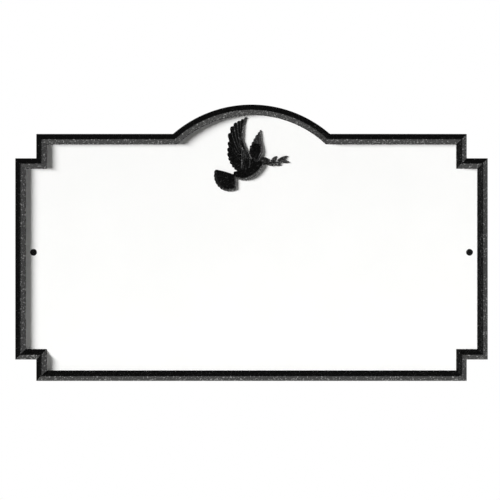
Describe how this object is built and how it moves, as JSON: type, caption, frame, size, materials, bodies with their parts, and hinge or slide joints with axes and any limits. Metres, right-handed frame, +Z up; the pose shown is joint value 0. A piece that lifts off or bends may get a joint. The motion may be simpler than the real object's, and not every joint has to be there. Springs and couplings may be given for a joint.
{
  "type": "lawn memorial plaque",
  "caption": "Landscape cast memorial plaque with stepped corners, an arched crown, a raised ridge border, a bare field and a dove with an olive branch in relief.",
  "frame": {"origin": "on the flat back face, midway between the two screws", "axes": "+Z up, +X to the right as seen from the front, +Y out of the back face; the front with the dove looks towards -Y"},
  "size_m": [0.4, 0.0082, 0.234],
  "materials": {
    "enamelled_aluminium": "satin",
    "black_steel": "satin"
  },
  "bodies": {
    "root": {"plaque": "enamelled_aluminium", "screw_left": "black_steel", "screw_right": "black_steel"}
  },
  "joints": []
}
